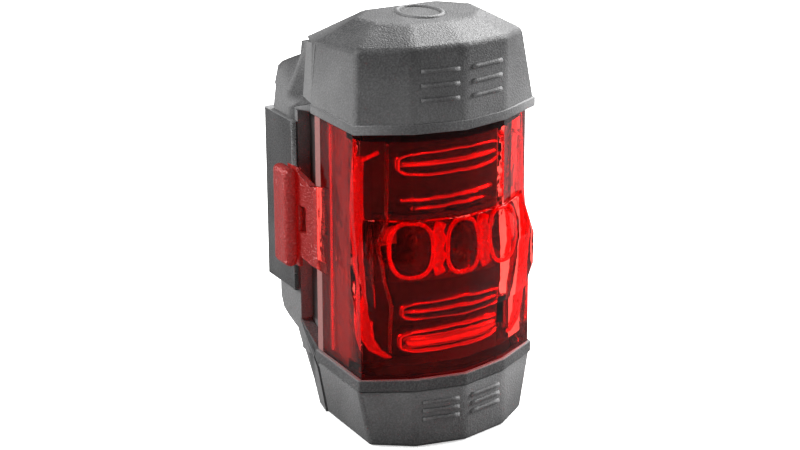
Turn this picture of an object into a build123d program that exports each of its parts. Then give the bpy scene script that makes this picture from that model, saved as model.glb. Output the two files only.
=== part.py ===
"""Bicycle rear lamp for a seat post, each piece in its own STEP file.

The light goes out towards -Y, the seat post stands behind the lamp on +Y, and +Z is up.
Sizes are in mm. The pieces are drawn from the base of the lamp up. At the end they are moved
so that the origin lies on the saddle pad, at the middle of the line that bears on the post.
"""
import os
from math import cos, radians, sin, tan

from build123d import *

os.makedirs("parts", exist_ok=True)

# Overall sizes
overall_height = 57.0
overall_depth = 31.8
body_width = 27.6
hood_taper = 1.1
waist_taper = 0.1
base_taper = 1.6
shell_depth = 13.85

# Faceted front: a nose edge, two facet edges and two side corners, which stand further
# forward on the covers and on the lens below its belt
belt_proud = 0.4
corner_back = 5.9
cover_corner_back = 5.05
shoulder_corner_back = 6.3
low_lens_corner_back = 4.6
facet_back = 1.45
facet_half = 7.0
nose_lean = 1.0

# Heights of the cap, the bands and the hood
cap_seam = 8.3
rim_height = 1.7
band_height = 1.4
hood_height = 11.7
shoulder_drop = 1.6
shoulder_angle = 7.0

# Walls and clearances
hood_wall = 1.2
cap_wall = 1.8
lens_wall = 1.6
housing_wall = 1.2
shell_wall = 1.4
moving_gap = 0.3
fitting_gap = 0.1
seam_gap = 0.15
overrun = 1.0

# Seat post, and the rubber pad that bears on it
post_radius = 13.6
saddle_depth = 7.7
pad_thickness = 1.2
pad_side = 0.8
pad_low_margin = 7.0
pad_high_margin = 2.3
groove_gap = 0.4

# Movements
button_travel = 0.5
plunger_travel = 0.25

# Places worked out from the sizes above
front_y = -overall_depth / 2
back_y = overall_depth / 2
nose_y = front_y + belt_proud
split_y = back_y - shell_depth
side_length = split_y - nose_y - corner_back
hood_seam = overall_height - hood_height
shoulder_z = overall_height - shoulder_drop
rim_top = cap_seam + rim_height
band_bottom = hood_seam - band_height
lens_height = band_bottom - rim_top
head_height = overall_height - band_bottom
body_half = body_width / 2
hood_half = body_half - hood_taper
waist_half = body_half - waist_taper
base_half = body_half - base_taper
core_half = hood_half - hood_wall
lens_half = core_half + 2 * fitting_gap + lens_wall
saddle_y = back_y - saddle_depth
post_y = saddle_y + post_radius
wing_half = lens_half
pad_half = wing_half + pad_side
pad_bottom = rim_top + pad_low_margin
pad_height = band_bottom - pad_high_margin - pad_bottom
groove_radius = post_radius + groove_gap
pocket_radius = post_radius + pad_thickness
housing_back = saddle_y - pad_thickness - shell_wall
lean = radians(shoulder_angle)
shoulder_plane = Plane(
    origin=(0, nose_y, shoulder_z), x_dir=(1, 0, 0), z_dir=(0, sin(lean), cos(lean))
)


def nose_at(height):
    """Y of the nose edge at one height: the front leans back a little towards the top."""
    return nose_y + nose_lean * height / shoulder_z


def shoulder_at(y):
    """Height of the sloping shoulder plane over one Y."""
    return shoulder_z - (y - nose_y) * tan(lean)


def half_outline(half_width, nose, rear, back=corner_back):
    """Points of the front outline on +X, from its rear end round to the nose."""
    return [
        (half_width, rear),
        (half_width, nose + back),
        (facet_half, nose + facet_back),
        (0, nose),
    ]


def mirrored(points):
    """Close a half outline with its mirror image. Points on the centre line are shared."""
    return points + [(-x, y) for x, y in reversed(points) if x > 0]


def draw_front(half_width, nose, rear, inset=0.0, back=corner_back):
    """Fill the front outline in the sketch at hand, drawn in by inset but for its rear edge."""
    Polygon(*mirrored(half_outline(half_width, nose, rear + inset, back)))
    if inset > 0:
        offset(amount=-inset, kind=Kind.INTERSECTION)


def low_points(shares):
    """Side view points (Y, Z) from shares of the rear depth and of the height below the lens."""
    return [(split_y + share_y * shell_depth, share_z * rim_top) for share_y, share_z in shares]


def high_points(shares):
    """Side view points (Y, Z) from shares of the rear depth and of the height above the lens."""
    return [
        (split_y + share_y * shell_depth, band_bottom + share_z * head_height)
        for share_y, share_z in shares
    ]


# Lamp housing: a black box with a head under the hood and a foot over the charge cover.
# It is open to the front between the two, where the optics and the lens close it. A rail
# down each side of its back locates the rear shell and shows through the shell's windows.
foam_thickness = 0.5
battery_side_gap = 2.1
battery_corner_share = 0.25
battery_gap = 0.2
lead_rise = 1.7
board_setback = 9.9
board_gap = 1.5
board_thickness = 1.0
floor_thickness = 2.0
rail_width = 1.5
window_rear = 5.0
foot_drop = 1.3
ceiling_drop = 2.4
boss_radius = 1.7
boss_side_gap = 2.3
boss_low_rise = 5.3
boss_high_rise = 2.7
screw_radius = 1.0
stem_radius = 2.0
port_width = 7.5
port_depth = 2.5
port_height = 5.6
port_drop = 1.1
tail_low_shares = [(0.0, 0.70), (0.0, 0.98), (0.39, 1.26), (0.30, 1.12)]
tail_high_shares = [(0.0, 0.107), (0.0, 0.0), (0.385, -0.07), (0.44, -0.045)]

cavity_back = housing_back - housing_wall
cavity_half = core_half - housing_wall
board_front = nose_y + board_setback
board_back = board_front + board_thickness
housing_floor = cap_seam - foot_drop
cavity_floor = housing_floor + floor_thickness
boss_x = cavity_half - boss_side_gap
boss_low = cavity_floor + boss_low_rise
boss_high = band_bottom + boss_high_rise
battery_width = 2 * (cavity_half - battery_side_gap)
battery_depth = cavity_back - foam_thickness - board_gap - board_back
battery_bottom = boss_low + boss_radius + battery_gap
battery_height = band_bottom - lead_rise - battery_bottom
cavity_ceiling = shoulder_at(cavity_back) - ceiling_drop
stem_y = board_back + stem_radius
port_y = board_back + port_depth / 2
boss_places = [(x, z) for x in (-boss_x, boss_x) for z in (boss_low, boss_high)]
head_nose = nose_at(shoulder_z)
foot_nose = nose_at(cap_seam)
foot_inset = waist_half - core_half
dip_inset = cap_wall + 2 * moving_gap
tail_low = low_points(tail_low_shares)
tail_high = high_points(tail_high_shares)
window_end = split_y + window_rear
window_low = tail_low[2][1]
window_high = tail_high[2][1]


def add_rails(mode):
    """Add or cut the two rails behind the housing's sides, between the bands' tails."""
    with BuildSketch(Plane.XY.offset(window_low)) as rails:
        for side in (-1, 1):
            with Locations((side * (core_half - rail_width / 2), (housing_back + window_end) / 2)):
                Rectangle(rail_width, window_end - housing_back)
    extrude(rails.sketch, amount=window_high - window_low, mode=mode)


with BuildPart() as inner_housing:
    with BuildSketch(Plane.XY.offset(cap_seam)):
        with Locations((0, (board_front + housing_back) / 2)):
            Rectangle(2 * core_half, housing_back - board_front)
    extrude(amount=overall_height - cap_seam)
    with BuildSketch(Plane.XY.offset(band_bottom)):
        draw_front(hood_half, head_nose, housing_back, inset=hood_wall)
    extrude(amount=overall_height - band_bottom)
    split(bisect_by=shoulder_plane, keep=Keep.BOTTOM)
    with BuildSketch(Plane.XY.offset(cap_seam)):
        draw_front(waist_half, foot_nose, housing_back, inset=foot_inset)
    extrude(amount=rim_height)
    with BuildSketch(Plane.XY.offset(housing_floor)):
        draw_front(waist_half, foot_nose, split_y - moving_gap, inset=dip_inset)
    extrude(amount=foot_drop)
    with BuildSketch(Plane.XY.offset(cavity_floor)):
        with Locations((0, (nose_y + cavity_back) / 2)):
            Rectangle(2 * cavity_half, cavity_back - nose_y)
    extrude(amount=band_bottom - cavity_floor, mode=Mode.SUBTRACT)
    with BuildSketch(Plane.XY.offset(band_bottom)):
        with Locations((0, (board_front + cavity_back) / 2)):
            Rectangle(2 * cavity_half, cavity_back - board_front)
    extrude(amount=cavity_ceiling - band_bottom, mode=Mode.SUBTRACT)
    with BuildSketch(Plane.XY.offset(band_bottom + housing_wall)):
        draw_front(
            hood_half, head_nose, board_front + housing_wall, inset=hood_wall + housing_wall
        )
    extrude(amount=cavity_ceiling - band_bottom - housing_wall, mode=Mode.SUBTRACT)
    with BuildSketch(Plane.XZ.offset(-cavity_back)):
        with Locations(*boss_places):
            Circle(boss_radius)
    extrude(amount=cavity_back - board_back)
    with BuildSketch(Plane.XZ.offset(-housing_back)):
        with Locations(*boss_places):
            Circle(screw_radius)
    extrude(amount=housing_back - board_back, mode=Mode.SUBTRACT)
    with BuildSketch(Plane.XY.offset(housing_floor)):
        with Locations((0, port_y)):
            Rectangle(port_width + 2 * moving_gap, port_depth + 2 * moving_gap)
    extrude(amount=floor_thickness, mode=Mode.SUBTRACT)
    with BuildSketch(Plane.XY.offset(cavity_ceiling - overrun)):
        with Locations((0, stem_y)):
            Circle(stem_radius + moving_gap)
    extrude(amount=overall_height, mode=Mode.SUBTRACT)
    add_rails(Mode.ADD)
inner_housing.part.label = "inner_housing"


# Rear shell: the soft back of the body. Its wings reach round the post, and each side has
# a window over the housing where the strap comes forward to its hook.
facet_taper = 0.8
column_taper = 0.3
facet_share = 0.28
column_share = 0.54
side_low_shares = [
    (0.0, 0.0),
    (0.23, 0.0),
    (0.285, 0.39),
    (0.35, 0.89),
    (0.444, 1.09),
    (0.646, 1.18),
    (0.755, 1.25),
    (0.812, 1.41),
]
side_high_shares = [
    (0.885, -0.137),
    (0.776, 0.313),
    (0.69, 0.382),
    (0.365, 0.527),
    (0.355, 1.0),
    (0.0, 1.0),
]
screw_head_radius = 1.9
screw_head_height = 1.2
screw_length = 8.0
screw_floor = 2.2
strap_half = 5.0
strap_thickness = 0.8
strap_length = 3.0

hinge_z = cap_wall / 2
wing_rear = back_y - 2 * pad_thickness - groove_gap
screw_seat = housing_back + screw_floor


def draw_rear(half_width):
    """Fill the rear outline in the sketch at hand: a facet drawing in, then the column."""
    Polygon(*mirrored([
        (half_width - column_taper, back_y),
        (half_width - column_taper, split_y + column_share * shell_depth),
        (half_width - facet_taper, split_y + facet_share * shell_depth),
        (half_width, split_y),
    ]))


with BuildPart() as rear_shell:
    with BuildSketch(Plane.XY):
        draw_rear(base_half)
    with BuildSketch(Plane.XY.offset(cap_seam)):
        draw_rear(waist_half)
    loft(ruled=True)
    with BuildSketch(Plane.XY.offset(cap_seam)):
        with Locations((0, (split_y + back_y) / 2)):
            Rectangle(2 * wing_half, back_y - split_y)
    extrude(amount=hood_seam - cap_seam)
    with BuildSketch(Plane.XY.offset(hood_seam)):
        draw_rear(body_half)
    with BuildSketch(Plane.XY.offset(overall_height)):
        draw_rear(hood_half)
    loft(ruled=True)
    with BuildSketch(Plane.YZ.offset(-body_width)):
        Polygon(*low_points(side_low_shares), *high_points(side_high_shares))
    extrude(amount=2 * body_width, mode=Mode.INTERSECT)
    split(bisect_by=shoulder_plane, keep=Keep.BOTTOM)
    with BuildSketch(Plane.XY.offset(cap_seam)):
        with Locations((0, housing_back - shell_depth / 2)):
            Rectangle(2 * core_half, shell_depth)
    extrude(amount=overall_height, mode=Mode.SUBTRACT)
    with BuildSketch(Plane.XY):
        with Locations((0, post_y)):
            Circle(groove_radius)
    extrude(amount=overall_height, mode=Mode.SUBTRACT)
    with BuildSketch(Plane.XY.offset(pad_bottom)):
        with Locations((0, post_y)):
            Circle(pocket_radius)
        with Locations((0, wing_rear + shell_depth / 2)):
            Rectangle(2 * body_width, shell_depth)
    extrude(amount=pad_height, mode=Mode.SUBTRACT)
    add_rails(Mode.SUBTRACT)
    for side in (-1, 1):
        with BuildSketch(Plane.YZ.offset(side * core_half)):
            Polygon(*[
                (split_y - overrun, tail_low[0][1]),
                tail_low[0],
                tail_low[3],
                tail_low[2],
                (window_end, window_low),
                (window_end, window_high),
                tail_high[2],
                tail_high[3],
                tail_high[0],
                (split_y - overrun, tail_high[0][1]),
            ])
        extrude(amount=side * body_width, mode=Mode.SUBTRACT)
    with BuildSketch(Plane.XZ.offset(-back_y)):
        with Locations(*boss_places):
            Circle(screw_radius)
    extrude(amount=back_y, mode=Mode.SUBTRACT)
    with BuildSketch(Plane.XZ.offset(-back_y)):
        with Locations(*boss_places):
            Circle(screw_head_radius + fitting_gap)
    extrude(amount=back_y - screw_seat, mode=Mode.SUBTRACT)
    with BuildSketch(Plane.XY.offset(hinge_z - strap_thickness / 2)):
        with Locations((0, split_y)):
            Rectangle(2 * strap_half, 2 * strap_length)
    extrude(amount=strap_thickness, mode=Mode.SUBTRACT)
rear_shell.part.label = "rear_shell"


# Bands: two soft rings that frame the lens, each with a tail down the side to the rear shell.
band_proud = 0.12


def draw_cover(half_width, nose, rear):
    """Fill the outline of a soft cover in the sketch at hand."""
    draw_front(half_width, nose, rear, back=cover_corner_back)


def draw_core_hole():
    """Fill the housing's column in the sketch at hand."""
    with Locations((0, (board_front + back_y) / 2)):
        Rectangle(2 * core_half, back_y - board_front)


def add_tails(points):
    """Add the two side tails to the band at hand, from the split back to the rear shell."""
    for side in (-1, 1):
        with BuildSketch(Plane.YZ.offset(side * core_half)) as tail:
            Polygon(*points)
        extrude(tail.sketch, amount=side * (wing_half - core_half))


with BuildPart() as upper_band:
    with BuildSketch(Plane.XY.offset(band_bottom)):
        draw_cover(body_half + band_proud, nose_at(hood_seam) - band_proud, split_y)
    extrude(amount=band_height)
    with BuildSketch(Plane.XY.offset(band_bottom)):
        draw_front(hood_half, head_nose, back_y, inset=hood_wall)
        draw_core_hole()
    extrude(amount=band_height, mode=Mode.SUBTRACT)
    add_tails(tail_high)
upper_band.part.label = "upper_band"

with BuildPart() as lower_band:
    with BuildSketch(Plane.XY.offset(cap_seam)):
        draw_cover(waist_half + band_proud, foot_nose - band_proud, split_y)
    extrude(amount=rim_height)
    with BuildSketch(Plane.XY.offset(cap_seam)):
        draw_front(waist_half, foot_nose, back_y, inset=foot_inset)
        draw_core_hole()
    extrude(amount=rim_height, mode=Mode.SUBTRACT)
    add_tails(tail_low)
lower_band.part.label = "lower_band"


# Hood: a soft cap over the head of the housing, with a sloping roof round the press pad.
# The roof also covers the top of the rear shell.
roof_rear_share = 0.355
plateau_shares = [(0.42, 0.575), (0.7, 0.46), (0.63, 0.335), (0.385, 0.232), (0.0, 0.215)]
pad_rim = 0.9

roof_rear = split_y + roof_rear_share * shell_depth
shoulder_outline = half_outline(hood_half, head_nose, split_y, shoulder_corner_back)
plateau = [
    (share_x * hood_half, front_y + share_y * overall_depth)
    for share_x, share_y in plateau_shares
]
plateau_front = plateau[-1][1]


def on_shoulder(points):
    """Points of a plan view, drawn on the sloping shoulder plane."""
    return [(x, (y - nose_y) / cos(lean)) for x, y in points]


def draw_plateau(inset=0.0):
    """Fill the flat top of the hood in the sketch at hand, drawn in by inset."""
    Polygon(*mirrored(plateau))
    if inset > 0:
        offset(amount=-inset, kind=Kind.INTERSECTION)


with BuildPart() as top_hood:
    with BuildSketch(Plane.XY.offset(hood_seam)):
        draw_cover(body_half, nose_at(hood_seam), split_y)
    with BuildSketch(shoulder_plane):
        Polygon(*on_shoulder(mirrored(shoulder_outline)))
    loft(ruled=True)
    with BuildSketch(Plane.XY.offset(band_bottom)):
        draw_front(hood_half, head_nose, back_y, inset=hood_wall)
    extrude(amount=overall_height - band_bottom, mode=Mode.SUBTRACT)
    with BuildSketch(shoulder_plane) as shoulder:
        Polygon(*on_shoulder(mirrored(
            [(hood_half - facet_taper, roof_rear)] + shoulder_outline
        )))
    with BuildSketch(Plane.XY.offset(overall_height)):
        draw_plateau()
    loft(ruled=True)
    with BuildSketch(Plane.XY.offset(shoulder_at(back_y))):
        draw_plateau(inset=pad_rim)
    extrude(amount=overall_height, mode=Mode.SUBTRACT)
top_hood.part.label = "top_hood"


# Press pad: the middle of the hood's top, with a stem that works the switch below it.
switch_drop = 1.7
plunger_height = 1.3

switch_top = cavity_ceiling - switch_drop
stem_end = switch_top + plunger_height + moving_gap
pad_floor = shoulder_at(plateau_front) + button_travel + fitting_gap

with BuildPart() as power_button:
    with BuildSketch(Plane.XY.offset(overall_height)):
        draw_plateau(inset=pad_rim + moving_gap)
    extrude(amount=pad_floor - overall_height)
    with BuildSketch(Plane.XY.offset(stem_end)):
        with Locations((0, stem_y)):
            Circle(stem_radius - fitting_gap)
    extrude(amount=pad_floor - stem_end)
power_button.part.label = "power_button"


# Charge cover: the soft cup under the lens. It swings down about its rear edge and has
# a collar inside that closes round the charge port.
collar_wall = 1.0
collar_gap = 0.5

with BuildPart() as bottom_cap:
    with BuildSketch(Plane.XY):
        draw_cover(base_half, nose_y, split_y - moving_gap)
    with BuildSketch(Plane.XY.offset(cap_seam - seam_gap)):
        draw_cover(waist_half, foot_nose, split_y - moving_gap)
    loft(ruled=True)
    rear_edge = bottom_cap.edges().filter_by(Axis.X).group_by(Axis.Z)[0].sort_by(Axis.Y)[-1]
    fillet(rear_edge, radius=hinge_z)
    with BuildSketch(Plane.XY.offset(cap_wall)):
        draw_front(base_half, nose_y, back_y, inset=cap_wall)
    with BuildSketch(Plane.XY.offset(cap_seam + overrun)):
        draw_front(waist_half, foot_nose, back_y, inset=cap_wall)
    loft(ruled=True, mode=Mode.SUBTRACT)
    with BuildSketch(Plane.XY.offset(cap_wall)):
        with Locations((0, port_y)):
            RectangleRounded(
                port_width + 2 * collar_gap + 2 * collar_wall,
                port_depth + 2 * collar_gap + 2 * collar_wall,
                collar_wall,
            )
            Rectangle(
                port_width + 2 * collar_gap, port_depth + 2 * collar_gap, mode=Mode.SUBTRACT
            )
    extrude(amount=housing_floor - moving_gap - cap_wall)
bottom_cap.part.label = "bottom_cap"

with BuildPart() as cover_strap:
    with BuildSketch(Plane.XY.offset(hinge_z - strap_thickness / 2)):
        with Locations((0, split_y + (strap_length - moving_gap / 2) / 2)):
            Rectangle(2 * strap_half, strap_length + moving_gap / 2)
    extrude(amount=strap_thickness)
cover_strap.part.label = "cover_strap"


# Saddle pad: grippy rubber that lines the groove, folds over the wing tips and shows
# as a slab on each side.
pad_edge = 0.5

with BuildPart() as saddle_pad:
    with BuildSketch(Plane.XY.offset(pad_bottom)) as wing_core:
        with Locations((0, wing_rear - shell_depth)):
            Rectangle(2 * wing_half, 2 * shell_depth)
        with Locations((0, post_y)):
            Circle(pocket_radius, mode=Mode.SUBTRACT)
    with BuildSketch(Plane.XY.offset(pad_bottom)) as pad_block:
        with Locations((0, (window_end + back_y) / 2)):
            Rectangle(2 * pad_half, back_y - window_end)
        with Locations((0, post_y)):
            Circle(pocket_radius)
        with Locations((0, back_y + shell_depth)):
            Rectangle(4 * pad_half, 2 * shell_depth, mode=Mode.SUBTRACT)
        add(wing_core.sketch, mode=Mode.SUBTRACT)
        with Locations((0, post_y)):
            Circle(post_radius, mode=Mode.SUBTRACT)
    extrude(pad_block.sketch, amount=pad_height)
    upright_edges = saddle_pad.edges().filter_by(Axis.Z).group_by(Axis.X)
    fillet(upright_edges[0] + upright_edges[-1], radius=pad_edge)
saddle_pad.part.label = "saddle_pad"


# Lens: a clear red cover, closed at its top and bottom, with a belt round its middle and
# a strap hook on each side.
belt_level_shares = [0.25, 0.37, 0.5, 0.655]
belt_corner_shares = [(0.92, 0.6), (0.56, 0.21)]
belt_side_proud = 0.3
hook_reach = 3.3
hook_bar_thickness = 1.7
hook_bar_front = 2.45
hook_bar_width = 4.3
hook_level_share = 0.342
hook_bar_height = 14.2
hook_bar_edge = 0.5
hook_root_length = 4.5
hook_root_proud = 0.4
hook_stem_low = 1.8
hook_stem_high = 1.0
hook_window_width = 1.5
hook_window_height = 3.8
hook_step_width = 0.8
hook_step_depth = 0.5
lens_end_wall = 1.4

lens_nose = nose_at(band_bottom) + belt_proud
belt_levels = [rim_top + share * lens_height for share in belt_level_shares]
root_low, belt_low, belt_high, root_high = belt_levels
lens_inner = lens_half - lens_wall / 2
belt_half = lens_half + belt_side_proud
hook_bar_half = lens_half + hook_reach
hook_bar_bottom = rim_top + hook_level_share * lens_height
hook_front = split_y + hook_bar_front
hook_rear = hook_front + hook_bar_width
hook_inner = hook_bar_half - hook_bar_thickness
hook_top = hook_bar_bottom + hook_bar_height
hook_middle = hook_bar_bottom + hook_bar_height / 2
root_front = split_y - hook_root_length
window_front = hook_front - hook_window_width

with BuildPart() as strap_hook:
    with BuildSketch(Plane.XY.offset(hook_bar_bottom)):
        Polygon(*[
            (lens_inner, root_front),
            (lens_half, root_front),
            (lens_half + hook_root_proud, (root_front + split_y) / 2),
            (hook_inner, hook_front),
            (hook_bar_half, hook_front),
            (hook_bar_half, hook_rear),
            (hook_inner, hook_rear),
            (hook_inner - hook_root_proud, hook_front + hook_bar_thickness / 2),
            (lens_half, split_y),
            (lens_inner, split_y),
        ])
    extrude(amount=hook_bar_height)
    with BuildSketch(Plane.YZ.offset(lens_inner - overrun)):
        Polygon(*[
            (root_front - overrun, hook_bar_bottom),
            (split_y, hook_bar_bottom + hook_stem_low / 2),
            (hook_front, hook_bar_bottom + hook_stem_low),
            (hook_front, hook_bar_bottom),
            (hook_rear + overrun, hook_bar_bottom),
            (hook_rear + overrun, hook_top),
            (hook_front, hook_top),
            (hook_front, hook_top - hook_stem_high / 2),
            (split_y, hook_top - 2 * hook_stem_high),
            (root_front - overrun, hook_top - hook_stem_high),
        ])
    extrude(amount=body_width, mode=Mode.INTERSECT)
    with BuildSketch(Plane.YZ.offset(lens_half)):
        with Locations(((window_front + hook_front) / 2, hook_middle)):
            Rectangle(hook_window_width, hook_window_height)
    extrude(amount=body_width, mode=Mode.SUBTRACT)
    with BuildSketch(Plane.YZ.offset(hook_inner - hook_step_depth)):
        with Locations((window_front - hook_step_width / 2, hook_middle)):
            Rectangle(hook_step_width, hook_window_height)
    extrude(amount=body_width, mode=Mode.SUBTRACT)
    bar_edges = strap_hook.edges().group_by(Axis.X)[-1]
    fillet(bar_edges, radius=hook_bar_edge)


def draw_belt():
    """Fill the belt's outline, rounder than the lens, in the sketch at hand."""
    Polygon(*mirrored(
        [
            (belt_half, split_y - side_length / 2),
            (belt_half, nose_y + corner_back + facet_back),
        ]
        + [
            (share_x * belt_half, front_y + share_y * corner_back)
            for share_x, share_y in belt_corner_shares
        ]
        + [(0, front_y)]
    ))


def draw_belt_root(back):
    """Fill the lens outline with as many corners as the belt, in the sketch at hand."""
    nose = nose_y + belt_proud
    slope = (back - facet_back) / (lens_half - facet_half)
    Polygon(*mirrored([
        (lens_half, split_y - side_length / 2),
        (lens_half, nose + back + facet_back),
        (lens_half - lens_wall, nose + back - slope * lens_wall - fitting_gap),
        (facet_half, nose + facet_back),
        (0, nose),
    ]))


with BuildPart() as lens:
    for level, back in (
        (rim_top, low_lens_corner_back),
        (belt_low, low_lens_corner_back),
        (root_high, corner_back),
        (band_bottom, corner_back),
    ):
        with BuildSketch(Plane.XY.offset(level)):
            draw_front(lens_half, nose_at(level) + belt_proud, split_y, back=back)
    loft(ruled=True)
    with BuildSketch(Plane.XY.offset(root_low)):
        draw_belt_root(low_lens_corner_back)
    with BuildSketch(Plane.XY.offset(belt_low)):
        draw_belt()
    with BuildSketch(Plane.XY.offset(belt_high)):
        draw_belt()
    with BuildSketch(Plane.XY.offset(root_high)):
        draw_belt_root(corner_back)
    loft(ruled=True)
    with BuildSketch(Plane.XY.offset(rim_top + lens_end_wall)):
        draw_front(lens_half, lens_nose, back_y, inset=lens_wall)
    extrude(amount=lens_height - 2 * lens_end_wall, mode=Mode.SUBTRACT)
    with BuildSketch(Plane.XY.offset(rim_top)):
        with Locations((0, board_front - fitting_gap + shell_depth)):
            Rectangle(2 * (core_half + 2 * fitting_gap), 2 * shell_depth)
    extrude(amount=lens_height, mode=Mode.SUBTRACT)
    add(strap_hook.part)
    mirror(strap_hook.part, about=Plane.YZ)
lens.part.label = "lens"


# Optics: a black frame on the front of the housing, with the two reflectors and the clear
# belt block on its face. The seal lies between the frame and the housing.
seal_thickness = 0.5
seal_width = 1.0
frame_thickness = 1.5
frame_slope = 1.3
led_side_gap = 4.1
led_level_share = 0.525
window_radius = 1.9
window_length = 5.6
status_spacing_share = 0.4
status_radius = 0.5
status_strip = 3.2
block_height_share = 0.265
block_side_gap = 1.5
block_gap = 0.6
reflector_side_gap = 3.7
reflector_margin = 1.0
reflector_wall = 0.8
vane_count = 3
vane_rise = 1.6

seal_front = board_front - seal_thickness
frame_front = seal_front - frame_thickness
frame_bottom = rim_top + lens_end_wall + fitting_gap
frame_top = band_bottom - lens_end_wall - fitting_gap
frame_middle = (frame_bottom + frame_top) / 2
frame_height = frame_top - frame_bottom
led_spacing = core_half - led_side_gap
led_z = rim_top + led_level_share * lens_height
block_height = block_height_share * lens_height
block_half = core_half - block_side_gap
block_bottom = led_z - block_height / 2
block_top = led_z + block_height / 2
reflector_half = core_half - reflector_side_gap
status_z = frame_bottom + status_strip / 2
status_spacing = status_spacing_share * boss_x
optics_inset = lens_wall + block_gap
optics_nose = lens_nose + optics_inset
led_places = [(x, led_z) for x in (-led_spacing, 0, led_spacing)]


def draw_optics(half_width):
    """Fill the space between the frame and the lens, up to half_width, in the sketch at hand."""
    draw_front(lens_half, lens_nose, frame_front, inset=optics_inset)
    with Locations((0, frame_front)):
        Rectangle(2 * half_width, 2 * body_width, mode=Mode.INTERSECT)


with BuildPart() as lens_seal:
    with BuildSketch(Plane.XZ.offset(-board_front)):
        with Locations((0, frame_middle)):
            Rectangle(2 * core_half, frame_height)
            Rectangle(
                2 * (core_half - seal_width), frame_height - 2 * seal_width, mode=Mode.SUBTRACT
            )
    extrude(amount=seal_thickness)
lens_seal.part.label = "lens_seal"

with BuildPart() as optics_frame:
    with BuildSketch(Plane.XZ.offset(-seal_front)):
        with Locations((0, frame_middle)):
            Rectangle(2 * core_half, frame_height)
        with Locations(*led_places):
            SlotOverall(window_length, 2 * window_radius, rotation=90, mode=Mode.SUBTRACT)
        with Locations((0, status_z)):
            with GridLocations(status_spacing, 0, 4, 1):
                Circle(status_radius, mode=Mode.SUBTRACT)
    extrude(amount=frame_thickness)
    upright_edges = optics_frame.edges().filter_by(Axis.Z).group_by(Axis.X)
    side_edges = [ends.sort_by(Axis.Y)[0] for ends in (upright_edges[0], upright_edges[-1])]
    chamfer(side_edges, length=frame_slope)
optics_frame.part.label = "optics_frame"

with BuildPart() as belt_block:
    with BuildSketch(Plane.XY.offset(block_bottom)):
        draw_optics(block_half)
    extrude(amount=block_height)
    with BuildSketch(Plane.XZ.offset(-frame_front)):
        with Locations(*led_places):
            SlotOverall(window_length, 2 * window_radius, rotation=90)
    extrude(amount=body_width, mode=Mode.SUBTRACT)
belt_block.part.label = "belt_block"


def build_reflector(bottom, top):
    """Louvred reflector on the frame: a back, two cheeks and rising vanes between them."""
    with BuildPart() as reflector:
        with BuildSketch(Plane.XY.offset(bottom)):
            draw_optics(reflector_half)
        extrude(amount=top - bottom)
        pitch = (top - bottom - reflector_wall) / vane_count
        for level in range(vane_count):
            low = bottom + reflector_wall + level * pitch
            high = low + pitch - reflector_wall
            with BuildSketch(Plane.YZ.offset(-reflector_half + reflector_wall)):
                Polygon(*[
                    (frame_front - reflector_wall, low + vane_rise / 2),
                    (frame_front - reflector_wall, high),
                    (optics_nose - overrun, high),
                    (optics_nose - overrun, low - vane_rise / 4),
                    (optics_nose, low),
                ])
            extrude(amount=2 * (reflector_half - reflector_wall), mode=Mode.SUBTRACT)
    return reflector.part


upper_reflector = build_reflector(block_top + 2 * fitting_gap, frame_top - reflector_margin)
upper_reflector.label = "upper_reflector"
lower_reflector = build_reflector(frame_bottom + status_strip, block_bottom - 2 * fitting_gap)
lower_reflector.label = "lower_reflector"


# Electronics on one board: it stands on the four bosses in front of the battery.
board_edge_gap = 0.2
led_size = 3.0
led_height = 0.9
dome_radius = 1.3
dome_height = 0.6
dome_edge = 0.4
status_length = 1.6
status_width = 0.8
switch_width = 6.0
switch_depth = 3.5
switch_height = 3.4
socket_depth = 2.0
plunger_radius = 0.9
port_wall = 0.3
port_end_wall = 0.6
tongue_width = 3.8
tongue_thickness = 0.6
foam_margin = 1.6
tab_spacing = 5.0
tab_width = 2.0
tab_thickness = 0.2
tab_bend = 0.6
chip_shares = [
    (-0.57, 0.30, 0.20, 0.10, 0.73),
    (0.04, 0.31, 0.15, 0.08, 0.53),
    (0.57, 0.30, 0.15, 0.12, 0.67),
    (0.30, 0.69, 0.10, 0.03, 0.47),
]

board_half = cavity_half - board_edge_gap
board_bottom = cavity_floor + moving_gap
board_top = switch_top + moving_gap
board_height = board_top - board_bottom
port_bottom = board_bottom - port_drop
battery_middle = cavity_back - foam_thickness - battery_depth / 2
lead_bottom = battery_bottom + battery_height

with BuildPart() as main_board:
    with BuildSketch(Plane.XZ.offset(-board_back)):
        with Locations((0, board_bottom + board_height / 2)):
            Rectangle(2 * board_half, board_height)
        with Locations(*boss_places):
            Circle(screw_radius, mode=Mode.SUBTRACT)
    extrude(amount=board_thickness)
main_board.part.label = "main_board"

with BuildPart() as main_leds:
    with BuildSketch(Plane.XZ.offset(-board_front)):
        with Locations(*led_places):
            Rectangle(led_size, led_size)
    extrude(amount=led_height)
    with BuildSketch(Plane.XZ.offset(led_height - board_front)):
        with Locations(*led_places):
            Circle(dome_radius)
    extrude(amount=dome_height)
    chamfer(main_leds.edges().group_by(Axis.Y)[0], length=dome_edge)
main_leds.part.label = "main_leds"

with BuildPart() as status_leds:
    with BuildSketch(Plane.XZ.offset(-board_front)):
        with Locations((0, status_z)):
            with GridLocations(status_spacing, 0, 4, 1):
                Rectangle(status_length, status_width)
    extrude(amount=seal_thickness)
status_leds.part.label = "status_leds"

with BuildPart() as driver_chips:
    for share_x, share_z, share_width, share_height, share_depth in chip_shares:
        depth = share_depth * board_gap
        with BuildSketch(Plane.XZ.offset(-board_back - depth)):
            with Locations((share_x * board_half, board_bottom + share_z * board_height)):
                Rectangle(2 * share_width * board_half, share_height * board_height)
        extrude(amount=depth)
driver_chips.part.label = "driver_chips"

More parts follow.
